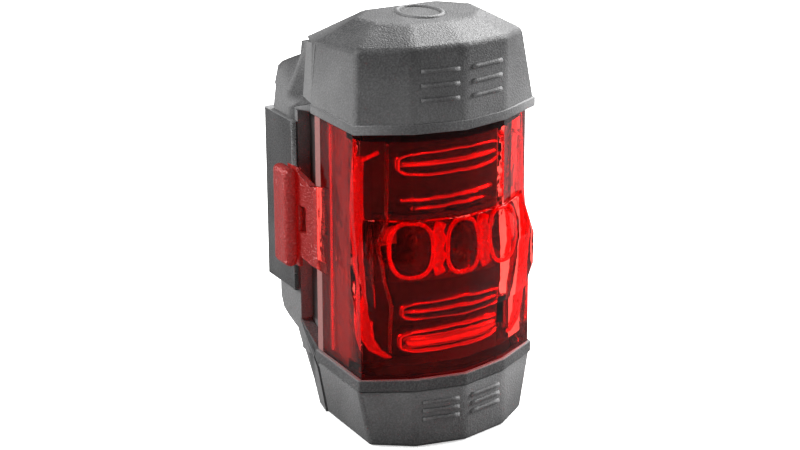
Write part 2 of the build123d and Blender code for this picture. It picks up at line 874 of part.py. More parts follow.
with BuildPart() as charge_port:
    with BuildSketch(Plane.XY.offset(port_bottom)):
        with Locations((0, port_y)):
            Rectangle(port_width, port_depth)
    extrude(amount=port_height)
    with BuildSketch(Plane.XY.offset(port_bottom)):
        with Locations((0, port_y)):
            Rectangle(port_width - 2 * port_wall, port_depth - 2 * port_wall)
    extrude(amount=port_height - port_end_wall, mode=Mode.SUBTRACT)
    with BuildSketch(Plane.XY.offset(port_bottom + port_wall)):
        with Locations((0, port_y)):
            Rectangle(tongue_width, tongue_thickness)
    extrude(amount=port_height - port_end_wall)
charge_port.part.label = "charge_port"

with BuildPart() as power_switch:
    with BuildSketch(Plane.XZ.offset(-board_back - switch_depth)):
        with Locations((0, switch_top - switch_height / 2)):
            Rectangle(switch_width, switch_height)
    extrude(amount=switch_depth)
    with BuildSketch(Plane.XY.offset(switch_top)):
        with Locations((0, stem_y)):
            Circle(plunger_radius + fitting_gap)
    extrude(amount=-socket_depth, mode=Mode.SUBTRACT)
power_switch.part.label = "power_switch"

with BuildPart() as switch_plunger:
    with BuildSketch(Plane.XY.offset(switch_top - socket_depth + plunger_travel + fitting_gap)):
        with Locations((0, stem_y)):
            Circle(plunger_radius)
    extrude(amount=socket_depth + plunger_height - plunger_travel - fitting_gap)
switch_plunger.part.label = "switch_plunger"

with BuildPart() as battery_cell:
    with BuildSketch(Plane.XY.offset(battery_bottom)):
        with Locations((0, battery_middle)):
            RectangleRounded(
                battery_width, battery_depth, battery_corner_share * battery_depth
            )
    extrude(amount=battery_height)
battery_cell.part.label = "battery_cell"

with BuildPart() as battery_foam:
    with BuildSketch(Plane.XZ.offset(-cavity_back)):
        with Locations((0, battery_bottom + battery_height / 2)):
            Rectangle(battery_width - 2 * foam_margin, battery_height - 2 * foam_margin)
    extrude(amount=foam_thickness)
battery_foam.part.label = "battery_foam"

with BuildPart() as battery_leads:
    for x in (-tab_spacing / 2, tab_spacing / 2):
        bend_z = lead_bottom + lead_rise - tab_thickness
        with BuildLine() as lead_path:
            FilletPolyline(
                (x, battery_middle, lead_bottom),
                (x, battery_middle, bend_z),
                (x, board_back, bend_z),
                radius=tab_bend,
            )
        with BuildSketch(Plane.XY.offset(lead_bottom)):
            with Locations((x, battery_middle)):
                Rectangle(tab_width, tab_thickness)
        sweep(path=lead_path.line)
battery_leads.part.label = "battery_leads"


# Screws: four hold the rear shell to the housing, four hold the board to the same bosses.
board_screw_length = 4.5
board_head_radius = 1.4

with BuildPart() as shell_screws:
    with BuildSketch(Plane.XZ.offset(-screw_seat)):
        with Locations(*boss_places):
            Circle(screw_radius)
    extrude(amount=screw_length - screw_head_height)
    with BuildSketch(Plane.XZ.offset(-screw_seat - screw_head_height)):
        with Locations(*boss_places):
            Circle(screw_head_radius)
    extrude(amount=screw_head_height)
shell_screws.part.label = "shell_screws"

with BuildPart() as board_screws:
    with BuildSketch(Plane.XZ.offset(-board_front)):
        with Locations(*boss_places):
            Circle(board_head_radius)
    extrude(amount=seal_thickness)
    with BuildSketch(Plane.XZ.offset(-board_front)):
        with Locations(*boss_places):
            Circle(screw_radius)
    extrude(amount=-board_screw_length)
board_screws.part.label = "board_screws"


pieces = [
    inner_housing.part, rear_shell.part, upper_band.part, lower_band.part, top_hood.part,
    power_button.part, bottom_cap.part, cover_strap.part, saddle_pad.part, lens.part,
    lens_seal.part, optics_frame.part, belt_block.part, upper_reflector, lower_reflector,
    main_board.part, main_leds.part, status_leds.part, driver_chips.part, charge_port.part,
    power_switch.part, switch_plunger.part, battery_cell.part, battery_foam.part,
    battery_leads.part, shell_screws.part, board_screws.part,
]
to_saddle = Location((0, -saddle_y, -(pad_bottom + pad_height / 2)))
for piece in pieces:
    export_step(piece.moved(to_saddle), f"parts/{piece.label}.step")
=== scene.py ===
"""Looks of the bicycle rear light: soft grey covers, a clear red lens and the works behind it."""
from math import copysign, cos, radians, sin

import bmesh
import bpy
from mathutils import Matrix, Vector


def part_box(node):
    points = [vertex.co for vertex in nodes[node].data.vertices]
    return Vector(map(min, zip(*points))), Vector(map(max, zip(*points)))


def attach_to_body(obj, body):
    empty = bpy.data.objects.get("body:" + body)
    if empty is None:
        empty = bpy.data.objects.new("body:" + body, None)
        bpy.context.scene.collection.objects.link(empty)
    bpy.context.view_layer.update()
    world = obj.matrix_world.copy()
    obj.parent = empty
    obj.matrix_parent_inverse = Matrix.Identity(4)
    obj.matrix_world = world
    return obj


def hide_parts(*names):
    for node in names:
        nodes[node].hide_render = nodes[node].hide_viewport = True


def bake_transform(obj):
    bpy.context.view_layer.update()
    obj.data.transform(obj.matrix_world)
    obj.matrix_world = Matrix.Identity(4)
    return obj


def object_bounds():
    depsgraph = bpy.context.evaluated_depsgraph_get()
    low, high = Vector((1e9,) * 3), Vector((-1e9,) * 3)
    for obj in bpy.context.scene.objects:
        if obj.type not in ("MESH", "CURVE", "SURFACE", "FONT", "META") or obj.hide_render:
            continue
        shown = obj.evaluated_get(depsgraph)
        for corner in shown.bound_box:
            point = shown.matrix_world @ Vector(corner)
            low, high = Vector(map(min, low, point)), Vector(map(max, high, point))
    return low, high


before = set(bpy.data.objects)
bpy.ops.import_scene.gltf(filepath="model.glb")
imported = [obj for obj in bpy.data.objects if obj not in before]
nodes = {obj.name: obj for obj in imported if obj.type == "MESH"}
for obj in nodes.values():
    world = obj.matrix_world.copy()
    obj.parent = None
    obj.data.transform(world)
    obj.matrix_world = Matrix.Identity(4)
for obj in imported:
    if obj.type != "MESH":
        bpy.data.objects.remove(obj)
cad_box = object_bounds()
scene = bpy.context.scene
scene.view_settings.view_transform = "Standard"


# Studio: white paper under four soft boxes, seen from the photograph's side. The eye and clear
# plastic see the paper and the room white, but both are dim as light and in gloss.
# The paper shows from above only, so that the lamp can be seen from below as well.
def aim(thing, target):
    """Turn a soft box or the camera so that it looks at the target."""
    thing.rotation_euler = (Vector(target) - thing.location).to_track_quat("-Z", "Y").to_euler()


camera = bpy.data.objects.new("camera", bpy.data.cameras.new("camera"))
scene.collection.objects.link(camera)
camera.data.lens = 81
camera.data.sensor_width = 36
camera.data.clip_start = 0.01
camera.location = (-0.11866, -0.21052, 0.08108)
aim(camera, target=(-0.00784, -0.01935, 0.00196))
scene.camera = camera


def add_soft_box(name, spot, size, watts):
    """Square light that looks at the middle of the object."""
    box = bpy.data.objects.new(name, bpy.data.lights.new(name, "AREA"))
    scene.collection.objects.link(box)
    box.data.size = size
    box.data.energy = watts
    box.location = spot
    aim(box, target=(0, 0, 0))


add_soft_box("front_box", spot=(0.0, -0.55, 0.3), size=0.06, watts=0.7)
add_soft_box("left_box", spot=(-0.45, 0.22, 0.3), size=0.2, watts=4.0)
add_soft_box("top_box", spot=(0.36, 0.2, 0.42), size=0.3, watts=7.0)
add_soft_box("right_box", spot=(0.5, -0.1, 0.25), size=0.2, watts=4.2)


def add_node(tree, kind, inputs, **settings):
    """Add a shader node. An input is a plain value, or a socket of another node to link."""
    made = tree.nodes.new("ShaderNode" + kind)
    for name, value in settings.items():
        setattr(made, name, value)
    for name, value in inputs.items():
        if isinstance(value, bpy.types.NodeSocket):
            tree.links.new(value, made.inputs[name])
        else:
            made.inputs[name].default_value = value
    return made


def add_ray_value(tree, light, gloss, eye):
    """Value for rays that light a thing, for its gloss, and for the eye and clear plastic."""
    rays = add_node(tree, "LightPath", {}).outputs
    unseen = add_node(
        tree, "MapRange", {"Value": rays["Is Glossy Ray"], "To Min": light, "To Max": gloss}
    )
    seen = add_node(
        tree, "Math", {0: rays["Is Camera Ray"], 1: rays["Is Transmission Ray"]}, operation="ADD"
    )
    chosen = add_node(
        tree, "MapRange", {"Value": seen.outputs[0], "To Min": unseen.outputs[0], "To Max": eye}
    )
    return chosen.outputs[0]


world = bpy.data.worlds.new("white_room")
scene.world = world
world.use_nodes = True
room = world.node_tree.nodes["Background"].inputs
room["Color"].default_value = (1, 1, 1, 1)
room_strength = add_ray_value(world.node_tree, light=0.1, gloss=0.15, eye=1.0)
world.node_tree.links.new(room_strength, room["Strength"])


def shader_inputs(material):
    """Inputs of the one shader that a new material has."""
    return material.node_tree.nodes["Principled BSDF"].inputs


def new_material(name, color, roughness, metallic=0.0):
    """Material whose shader has one colour and roughness to start from."""
    material = bpy.data.materials.new(name)
    material.use_nodes = True
    shader = shader_inputs(material)
    shader["Base Color"].default_value = (*color, 1)
    shader["Roughness"].default_value = roughness
    shader["Metallic"].default_value = metallic
    return material


def make_piece(form, name, *materials):
    """Object of a finished bmesh, shaded smooth over its rounded edges."""
    mesh = bpy.data.meshes.new(name)
    form.to_mesh(mesh)
    form.free()
    mesh.shade_smooth()
    for material in materials:
        mesh.materials.append(material)
    piece = bpy.data.objects.new(name, mesh)
    scene.collection.objects.link(piece)
    return piece


white_paper = new_material("white_paper", color=(0.92, 0.92, 0.92), roughness=0.9)
tree = white_paper.node_tree
shader = shader_inputs(white_paper)
shader["Emission Color"].default_value = (1, 1, 1, 1)
shader["Specular IOR Level"].default_value = 0.1
paper_glow = add_ray_value(tree, light=0.0, gloss=0.0, eye=0.5)
paper_tone = add_ray_value(tree, light=0.25, gloss=0.15, eye=0.92)
from_below = add_node(tree, "NewGeometry", {}).outputs["Backfacing"]
from_above = add_node(tree, "Math", {0: 1.0, 1: from_below}, operation="SUBTRACT")
tree.links.new(paper_glow, shader["Emission Strength"])
tree.links.new(paper_tone, shader["Base Color"])
tree.links.new(from_above.outputs[0], shader["Alpha"])
form = bmesh.new()
bmesh.ops.create_grid(form, x_segments=1, y_segments=1, size=3)
bmesh.ops.translate(form, verts=form.verts, vec=(0, 0, cad_box[0][2]))
floor = make_piece(form, "floor", white_paper)


# Inner housing, optics frame and switch body: black plastic mouldings with a fine grain. The
# frame clips over the housing's front, and the switch is soldered to the back of the board.
# All moulded finishes share one surface with grain, a cloudy tone and pale edges, which are
# partly worn and partly a painted highlight.
def on_piece(tree):
    """Object coordinates, which a pattern on a piece follows."""
    return add_node(tree, "TexCoord", {}).outputs["Object"]


def mix_colors(tree, factor, first, second):
    """Colour between two others, each a plain colour or a socket."""
    mix = add_node(tree, "Mix", {"Factor": factor, 6: first, 7: second}, data_type="RGBA")
    return mix.outputs[2]


moulded = bpy.data.node_groups.new("moulded_surface", "ShaderNodeTree")
for name, kind in (
    ("Tone", "Color"), ("Pale Tone", "Color"), ("Roughness", "Float"), ("Grain", "Float"),
    ("Depth", "Float"), ("Edge Wear And Highlight", "Float"),
):
    moulded.interface.new_socket(name, in_out="INPUT", socket_type="NodeSocket" + kind)
for name, kind in (("Color", "Color"), ("Roughness", "Float"), ("Normal", "Vector")):
    moulded.interface.new_socket(name, in_out="OUTPUT", socket_type="NodeSocket" + kind)
given = moulded.nodes.new("NodeGroupInput").outputs
made = moulded.nodes.new("NodeGroupOutput").inputs
place = on_piece(moulded)
grain = add_node(moulded, "TexNoise", {"Vector": place, "Scale": given["Grain"], "Detail": 2.0})
cloud = add_node(moulded, "TexNoise", {"Vector": place, "Scale": 160.0, "Detail": 4.0})
speck = add_node(
    moulded, "MapRange",
    {"Value": grain.outputs["Fac"], "From Min": 0.4, "From Max": 0.75, "To Max": 0.3},
)
haze = add_node(
    moulded, "MapRange",
    {"Value": cloud.outputs["Fac"], "From Min": 0.4, "From Max": 0.7, "To Max": 0.15},
)
# Sharp edges turn pale by pointiness: partly worn, partly a painted highlight along the rounded
# creases.
worn_and_highlit_edges = add_node(
    moulded, "MapRange",
    {
        "Value": add_node(moulded, "NewGeometry", {}).outputs["Pointiness"],
        "From Min": 0.52, "From Max": 0.6, "To Max": given["Edge Wear And Highlight"],
    },
)
mottle = add_node(moulded, "Math", {0: speck.outputs[0], 1: haze.outputs[0]}, operation="ADD")
pale = add_node(moulded, "Math", {0: mottle.outputs[0], 1: worn_and_highlit_edges.outputs[0]}, operation="ADD")
polish = add_node(
    moulded, "MapRange", {"Value": cloud.outputs["Fac"], "To Min": -0.08, "To Max": 0.08}
)
matt = add_node(moulded, "Math", {0: given["Roughness"], 1: polish.outputs[0]}, operation="ADD")
pimple = add_node(moulded, "Bump", {"Height": grain.outputs["Fac"], "Distance": given["Depth"]})
moulded.links.new(
    mix_colors(moulded, pale.outputs[0], given["Tone"], given["Pale Tone"]), made["Color"]
)
moulded.links.new(matt.outputs[0], made["Roughness"])
moulded.links.new(pimple.outputs[0], made["Normal"])


def new_moulded(
    name, tone, pale_tone, roughness, grain, depth, edge_wear_and_highlight=0.3, gloss=0.5, metallic=0.0
):
    """Material with its own tones, grain and pale edges, partly worn and partly painted
    highlight, in the shared moulded surface.
    """
    material = new_material(name, tone, roughness, metallic)
    tree = material.node_tree
    surface = add_node(
        tree, "Group",
        {
            "Tone": (*tone, 1), "Pale Tone": (*pale_tone, 1), "Roughness": roughness,
            "Grain": grain, "Depth": depth, "Edge Wear And Highlight": edge_wear_and_highlight,
        },
        node_tree=moulded, name="surface",
    )
    shader = shader_inputs(material)
    shader["Specular IOR Level"].default_value = gloss
    tree.links.new(surface.outputs["Color"], shader["Base Color"])
    tree.links.new(surface.outputs["Roughness"], shader["Roughness"])
    tree.links.new(surface.outputs["Normal"], shader["Normal"])
    return material


def dress(material, *names):
    """Give CAD nodes whose shape is right a finish."""
    for name in names:
        nodes[name].material_slots[0].material = material


black_plastic = new_moulded(
    "black_plastic", tone=(0.006, 0.006, 0.0065), pale_tone=(0.009, 0.009, 0.0095),
    roughness=0.4, grain=1200, depth=0.000001, gloss=0.2,
)
dress(black_plastic, "optics_frame", "power_switch")
# The inner housing is the same black plastic painted paler than the frame, as painted light, so
# that it shows lit in the shade of the side recess.
black_painted_lit = new_moulded(
    "black_painted_lit", tone=(0.06, 0.052, 0.052), pale_tone=(0.09, 0.08, 0.08),
    roughness=0.35, grain=1500, depth=0.00001,
)
dress(black_painted_lit, "inner_housing")

# Main board: glass fibre under green solder mask, whose copper tracks show as paler lines.
# It stands on the housing's bosses in front of the cell, and four screws hold it.
solder_mask = new_moulded(
    "solder_mask", tone=(0.006, 0.07, 0.025), pale_tone=(0.02, 0.14, 0.05),
    roughness=0.3, grain=1200, depth=0.000004,
)
tree = solder_mask.node_tree
flat = add_node(tree, "Mapping", {"Vector": on_piece(tree), "Rotation": (radians(90), 0, 0)})
tracks = add_node(
    tree, "TexBrick",
    {
        "Vector": flat.outputs[0], "Color1": (0.008, 0.1, 0.035, 1),
        "Color2": (0.006, 0.08, 0.03, 1), "Mortar": (0.05, 0.25, 0.09, 1), "Scale": 1.0,
        "Mortar Size": 0.00012, "Brick Width": 0.0034, "Row Height": 0.0009,
    },
)
etching = 0.75
mask_color = tree.nodes["surface"].outputs["Color"]
etched = mix_colors(tree, etching, mask_color, tracks.outputs["Color"])
tree.links.new(etched, shader_inputs(solder_mask)["Base Color"])
dress(solder_mask, "main_board")

# Driver chips: the LED driver, the charger, the controller and one small part. They are
# packages of black epoxy, soldered to the back of the board.
chip_epoxy = new_moulded(
    "chip_epoxy", tone=(0.012, 0.012, 0.013), pale_tone=(0.05, 0.05, 0.05),
    roughness=0.45, grain=5000, depth=0.000006,
)
dress(chip_epoxy, "driver_chips")

# Screws and charging socket: bright steel, turned or pressed, with fine drawn lines. Four
# screws hold the board and four the rear shell, and the socket opens down into the cup.
drawn_steel = new_moulded(
    "drawn_steel", tone=(0.42, 0.42, 0.43), pale_tone=(0.62, 0.62, 0.62),
    roughness=0.3, grain=4000, depth=0.000004, edge_wear_and_highlight=0.2, metallic=1.0,
)
tree = drawn_steel.node_tree
stretched = add_node(tree, "Mapping", {"Vector": on_piece(tree), "Scale": (400, 6000, 400)})
lines = add_node(tree, "TexNoise", {"Vector": stretched.outputs[0], "Scale": 1.0})
brushed = add_node(
    tree, "MapRange", {"Value": lines.outputs["Fac"], "To Min": 0.2, "To Max": 0.42}
)
tree.links.new(brushed.outputs[0], shader_inputs(drawn_steel)["Roughness"])
dress(drawn_steel, "shell_screws", "board_screws", "charge_port")

# Switch plunger: a small pin of white acetal that stands out of the tactile switch. The
# stem of the press pad pushes it down, and the switch springs it back.
white_acetal = new_moulded(
    "white_acetal", tone=(0.7, 0.7, 0.68), pale_tone=(0.85, 0.85, 0.83),
    roughness=0.4, grain=3000, depth=0.000006,
)
dress(white_acetal, "switch_plunger")

# Cell: a lithium pouch in wrinkled silver foil, with amber tape round its upper end. It lies
# in the housing behind the board.
cell_foil = new_moulded(
    "cell_foil", tone=(0.5, 0.51, 0.53), pale_tone=(0.72, 0.73, 0.75),
    roughness=0.32, grain=600, depth=0.00006, edge_wear_and_highlight=0.2, metallic=0.9,
)
tape_color = (0.5, 0.22, 0.03, 1)
tape_width = 0.004
tape_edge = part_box("battery_cell")[1][2] - tape_width
tree = cell_foil.node_tree
height = add_node(tree, "SeparateXYZ", {0: on_piece(tree)}).outputs["Z"]
tape = add_node(tree, "Math", {0: height, 1: tape_edge}, operation="GREATER_THAN").outputs[0]
bare = add_node(tree, "MapRange", {"Value": tape, "To Min": 0.9, "To Max": 0.0})
wrapped = mix_colors(tree, tape, tree.nodes["surface"].outputs["Color"], tape_color)
tree.links.new(wrapped, shader_inputs(cell_foil)["Base Color"])
tree.links.new(bare.outputs[0], shader_inputs(cell_foil)["Metallic"])
dress(cell_foil, "battery_cell")

# Foam and cell tabs: a strip of black foam holds the cell off the housing's back wall, and
# two nickel tabs in red sleeving run from the cell's top forward to the board.
open_foam = new_moulded(
    "open_foam", tone=(0.03, 0.03, 0.03), pale_tone=(0.12, 0.12, 0.12),
    roughness=0.9, grain=2200, depth=0.0002,
)
dress(open_foam, "battery_foam")
red_sleeving = new_moulded(
    "red_sleeving", tone=(0.4, 0.012, 0.01), pale_tone=(0.55, 0.05, 0.04),
    roughness=0.35, grain=3000, depth=0.00001,
)
dress(red_sleeving, "battery_leads")

# Seal: a moulded ring of black silicone that keeps water out. It is pressed between the
# optics frame and the housing.
black_silicone = new_moulded(
    "black_silicone", tone=(0.01, 0.01, 0.01), pale_tone=(0.04, 0.04, 0.04),
    roughness=0.6, grain=4000, depth=0.00001,
)
dress(black_silicone, "lens_seal")

# LEDs: three main ones, ceramic squares under clear domes, and four small charge lights in a
# row. All are soldered to the front of the board, and their phosphor looks yellow.
led_phosphor = new_moulded(
    "led_phosphor", tone=(0.75, 0.5, 0.08), pale_tone=(0.9, 0.85, 0.6),
    roughness=0.15, grain=2500, depth=0.00001,
)
shader_inputs(led_phosphor)["Coat Weight"].default_value = 1.0
dress(led_phosphor, "main_leds", "status_leds")

# Reflectors: one above the belt and one below, moulded from plastic and plated bright. Each
# is a stack of rounded bands bent like the front of the lens: closed loops with a blade
# through the middle, and open bands.
bright_plating = new_moulded(
    "bright_plating", tone=(0.8, 0.8, 0.8), pale_tone=(1.0, 1.0, 1.0),
    roughness=0.2, grain=900, depth=0.00004, edge_wear_and_highlight=0.1, metallic=1.0,
)
front_bend = 30.0
loop_front = -0.0190
loop_half_depth = 0.0012
oval_steps = 36
band_steps = 8


def edges_at(verts):
    """Edges that meet at some vertices, each once and in the same order on every run."""
    return list(dict.fromkeys(edge for vert in verts for edge in vert.link_edges))


def add_ring(form, turn, sides=10):
    """Edges of a new circle, placed and stretched by a matrix."""
    ring = bmesh.ops.create_circle(form, segments=sides, radius=1, matrix=turn)
    return edges_at(ring["verts"])


def join_rings(form, rings, closed=False):
    """Skin a row of rings, and fill its two ends unless it is closed."""
    count = len(rings)
    for place in range(count if closed else count - 1):
        bmesh.ops.bridge_loops(form, edges=rings[place] + rings[(place + 1) % count])
    if not closed:
        bmesh.ops.edgeloop_fill(form, edges=rings[0])
        bmesh.ops.edgeloop_fill(form, edges=rings[-1])
    bmesh.ops.recalc_face_normals(form, faces=form.faces)


def sweep(form, path, half_width, half_depth, closed=False, facing=(0, 1, 0), sides=10):
    """Rounded band along a path: wide across it, and deep towards the side it faces."""
    rings = []
    count = len(path)
    for place, spot in enumerate(path):
        before = path[place - 1] if closed or place else spot
        after = path[(place + 1) % count] if closed or place + 1 < count else spot
        along = (Vector(after) - Vector(before)).normalized()
        across = along.cross(Vector(facing)).normalized()
        deep = across.cross(along)
        turn = Matrix((across * half_width, deep * half_depth, along)).transposed().to_4x4()
        turn.translation = Vector(spot)
        rings.append(add_ring(form, turn, sides))
    join_rings(form, rings, closed)


def bent(x, level, front):
    """Place on the bent front of the optics, which runs back towards both sides."""
    return (x, front + front_bend * x * x, level)


def oval(half, low, high, front, square, middle=0.0):
    """Closed path between two levels. A higher square makes its ends less round."""
    path = []
    for step in range(oval_steps):
        turn = radians(360 * (step + 0.5) / oval_steps)
        side = copysign(abs(cos(turn)) ** (2 / square), cos(turn))
        rise = copysign(abs(sin(turn)) ** (2 / square), sin(turn))
        path.append(bent(middle + half * side, (low + high) / 2 + rise * (high - low) / 2, front))
    return path


def add_loop(form, half, low, high, half_width):
    """Closed band of a reflector."""
    path = oval(half, low, high, loop_front, square=4.0)
    sweep(form, path, half_width, loop_half_depth, closed=True)


def add_band(form, half, level, front, half_width, half_depth):
    """Open band of a reflector, from side to side at one level."""
    path = [
        bent(half * step / band_steps, level, front)
        for step in range(-band_steps, band_steps + 1)
    ]
    sweep(form, path, half_width, half_depth)


def attach(piece, body):
    """Even out a piece's shading, and let it ride on a body."""
    piece.modifiers.new("even_shading", "WEIGHTED_NORMAL").keep_sharp = True
    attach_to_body(piece, body)


form = bmesh.new()
add_loop(form, half=0.0074, low=0.0084, high=0.0115, half_width=0.00036)
add_band(form, half=0.0070, level=0.0099, front=-0.0192, half_width=0.00045, half_depth=0.0009)
add_band(form, half=0.0066, level=0.0048, front=-0.0186, half_width=0.0004, half_depth=0.0007)
add_band(form, half=0.0052, level=0.0036, front=-0.0188, half_width=0.0003, half_depth=0.0006)
upper_louvre = make_piece(form, "upper_louvre", bright_plating)
attach(upper_louvre, "lamp")
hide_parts("upper_reflector")

form = bmesh.new()
add_loop(form, half=0.0072, low=-0.0114, high=-0.0088, half_width=0.00036)
add_band(form, half=0.0068, level=-0.0101, front=-0.0192, half_width=0.0004, half_depth=0.0009)
add_loop(form, half=0.0074, low=-0.0164, high=-0.0134, half_width=0.0004)
add_band(form, half=0.0070, level=-0.0150, front=-0.0196, half_width=0.0009, half_depth=0.0006)
lower_louvre = make_piece(form, "lower_louvre", bright_plating)
attach(lower_louvre, "lamp")
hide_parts("lower_reflector")


# Belt block: clear red acrylic on the face of the optics frame, behind the belt. It has an
# oval window before each main LED, and wavy columns between them spread the light sideways.
def new_clear(name, color, roughness, passing, ripple, ripple_depth, gloss, milk=0.0):
    """Clear plastic with a red gloss. Shadow rays pass it tinted and light what is behind."""
    material = new_material(name, color, roughness)
    tree = material.node_tree
    shader = shader_inputs(material)
    shader["Transmission Weight"].default_value = 1.0 - milk
    shader["IOR"].default_value = 1.49
    shader["Specular IOR Level"].default_value = gloss
    shader["Specular Tint"].default_value = (2 * gloss, gloss, gloss, 1)
    waves = add_node(tree, "TexNoise", {"Vector": on_piece(tree), "Scale": ripple})
    swell = add_node(tree, "Bump", {"Height": waves.outputs["Fac"], "Distance": ripple_depth})
    tree.links.new(swell.outputs[0], shader["Normal"])
    passed = add_node(tree, "BsdfTransparent", {"Color": (*passing, 1)})
    both = add_node(
        tree, "MixShader",
        {
            0: add_node(tree, "LightPath", {}).outputs["Is Shadow Ray"],
            1: tree.nodes["Principled BSDF"].outputs[0], 2: passed.outputs[0],
        },
    )
    tree.links.new(both.outputs[0], tree.nodes["Material Output"].inputs["Surface"])
    return material


def take_form(node):
    """Bmesh of a CAD node, its loose triangles merged into whole flat faces."""
    form = bmesh.new()
    form.from_mesh(nodes[node].data)
    bmesh.ops.remove_doubles(form, verts=form.verts, dist=2e-6)
    bmesh.ops.dissolve_limit(form, angle_limit=radians(2), verts=form.verts, edges=form.edges)
    return form


def soften(form, width, segments=3, sharpest=18, spared=lambda edge: False):
    """Round a form's sharp edges but those spared, as the corners of a mould are rounded."""
    sharp = [
        edge for edge in form.edges
        if edge.is_manifold and edge.calc_face_angle() > radians(sharpest) and not spared(edge)
    ]
    bmesh.ops.bevel(
        form, geom=sharp, offset=width, offset_type="OFFSET", segments=segments, profile=0.5,
        affect="EDGES", clamp_overlap=True, material=-1,
    )


red_block = new_clear(
    "red_block", color=(0.25, 0.003, 0.003), roughness=0.03, passing=(0.9, 0.12, 0.1),
    ripple=700, ripple_depth=0.0007, gloss=0.5,
)
red_prism = new_clear(
    "red_prism", color=(1.0, 0.02, 0.012), roughness=0.08, passing=(1.0, 0.15, 0.12),
    ripple=900, ripple_depth=0.0006, gloss=0.5, milk=0.3,
)
# Middle and half width of each window
window_places = ((-0.0064, 0.0026), (0.0004, 0.0022), (0.0069, 0.0023))
window_low = -0.0052
window_high = 0.0020
window_front = -0.0208
column_places = (-0.0029, 0.0037)
column_top = 0.0018
column_drop = 0.0068
column_wave = 0.0002
column_front = -0.0206
column_steps = 6
form = take_form("belt_block")
soften(form, width=0.0003, segments=2, sharpest=30)
carrier_faces = set(form.faces)
for middle, half in window_places:
    rim = oval(half, window_low, window_high, window_front, square=2.6, middle=middle)
    sweep(form, rim, half_width=0.00028, half_depth=0.0004, closed=True)
for middle in column_places:
    column = []
    for step in range(column_steps + 1):
        level = column_top - column_drop * step / column_steps
        column.append(bent(middle + column_wave * (-1) ** step, level, column_front))
    sweep(form, column, half_width=0.0008, half_depth=0.0005)
for face in form.faces:
    face.material_index = int(face not in carrier_faces)
belt_windows = make_piece(form, "belt_windows", red_block, red_prism)
attach(belt_windows, "lamp")
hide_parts("belt_block")

# Corner prisms: wavy bars of clear red plastic, moulded along the inside of the lens's front
# corners to carry light round to the sides. Each has a short arm at its top, a thin rib
# beside it and a line down the side behind it.

# Distance from the middle, level and half width down a bar
prism_places = (
    (0.0119, 0.0112, 0.0005), (0.0121, 0.0075, 0.0006), (0.0122, 0.0045, 0.0007),
    (0.0121, 0.0010, 0.0008), (0.0115, -0.0033, 0.0008), (0.0110, -0.0070, 0.0006),
    (0.0112, -0.0088, 0.0008), (0.0114, -0.0120, 0.0008), (0.0112, -0.0142, 0.0007),
    (0.0104, -0.0158, 0.0007), (0.0090, -0.0168, 0.0005),
)
# Distance from the middle and level down a rib, and along an arm
rib_places = (
    (0.0090, 0.0130), (0.0090, 0.0070), (0.0091, 0.0018), (0.0100, -0.0012),
    (0.0095, -0.0054), (0.0087, -0.0089), (0.0088, -0.0161),
)
arm_places = ((0.0118, 0.0106), (0.0108, 0.0112), (0.0098, 0.0118))
prism_stretch = 1.25
corner_x = 0.0114
corner_y = -0.0169
corner_slope = 0.62
line_x = 0.0124
line_y = -0.0099
line_top = 0.0138
line_pitch = 0.0032
line_points = 11


def inside_corner(side, x, level, inset):
    """Place behind the lens's front corner on one side, set in from the facet."""
    return (side * x, corner_y + corner_slope * (x - corner_x) + inset, level)


form = bmesh.new()
for side in (-1, 1):
    rib = [inside_corner(side, x, level, inset=0.0004) for x, level in rib_places]
    sweep(form, rib, half_width=0.00016, half_depth=0.0005)
rib_faces = set(form.faces)
for side in (-1, 1):
    rings = []
    for x, level, half in prism_places:
        turn = Matrix.Diagonal((prism_stretch * half, half, 1, 1))
        turn.translation = inside_corner(side, x, level, inset=0.0006)
        rings.append(add_ring(form, turn))
    join_rings(form, rings)
    arm = [inside_corner(side, x, level, inset=0.0005) for x, level in arm_places]
    sweep(form, arm, half_width=0.0002, half_depth=0.0005)
    line = [(side * line_x, line_y, line_top - line_pitch * step) for step in range(line_points)]
    sweep(form, line, half_width=0.00025, half_depth=0.0003)
for face in form.faces:
    face.material_index = int(face in rib_faces)
corner_prisms = make_piece(form, "corner_prisms", red_prism, red_block)
attach(corner_prisms, "lamp")

# Lens: one moulding of clear red plastic with the belt and the two strap hooks. The hooks
# are etched in the mould, so they look frosted, and the rear edges of the sides look milky.
# It closes the front of the housing between the two bands.
red_clear = new_clear(
    "red_clear", color=(0.68, 0.045, 0.035), roughness=0.015, passing=(1.0, 0.14, 0.11),
    ripple=300, ripple_depth=0.00016, gloss=0.2,
)
red_frosted = new_clear(
    "red_frosted", color=(0.45, 0.03, 0.027), roughness=0.25, passing=(0.7, 0.05, 0.04),
    ripple=3500, ripple_depth=0.00025, gloss=0.9, milk=0.75,
)
pale_edge = new_clear(
    "pale_edge", color=(0.42, 0.2, 0.19), roughness=0.35, passing=(0.7, 0.05, 0.04),
    ripple=3500, ripple_depth=0.0001, gloss=0.5, milk=0.85,
)
frosted_index = 1
pale_index = 2
side_wall = 0.0133
hook_start = 0.0141
pale_line = -0.0076
bar_inner = 0.01475
bar_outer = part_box("lens")[1][0]
bar_front = -0.0037
bar_rear = 0.0006
bar_bottom = -0.0077
bar_top = 0.0064
shortest_crease = 0.001
nearly = 0.0001


def cut_across(form, place, facing, clear_outer=False):
    """Edges where a plane cuts a form. What lies beyond the plane can be cleared away."""
    cut = bmesh.ops.bisect_plane(
        form, geom=form.verts[:] + form.edges[:] + form.faces[:], plane_co=place,
        plane_no=facing, clear_outer=clear_outer,
    )["geom_cut"]
    return [item for item in cut if isinstance(item, bmesh.types.BMEdge)]


def round_edges(form, edges, width, segments):
    """Round the chosen edges at full width, whatever small edges lie near them."""
    bmesh.ops.bevel(
        form, geom=edges, offset=width, offset_type="OFFSET", segments=segments, profile=0.5,
        affect="EDGES", clamp_overlap=False, material=-1,
    )


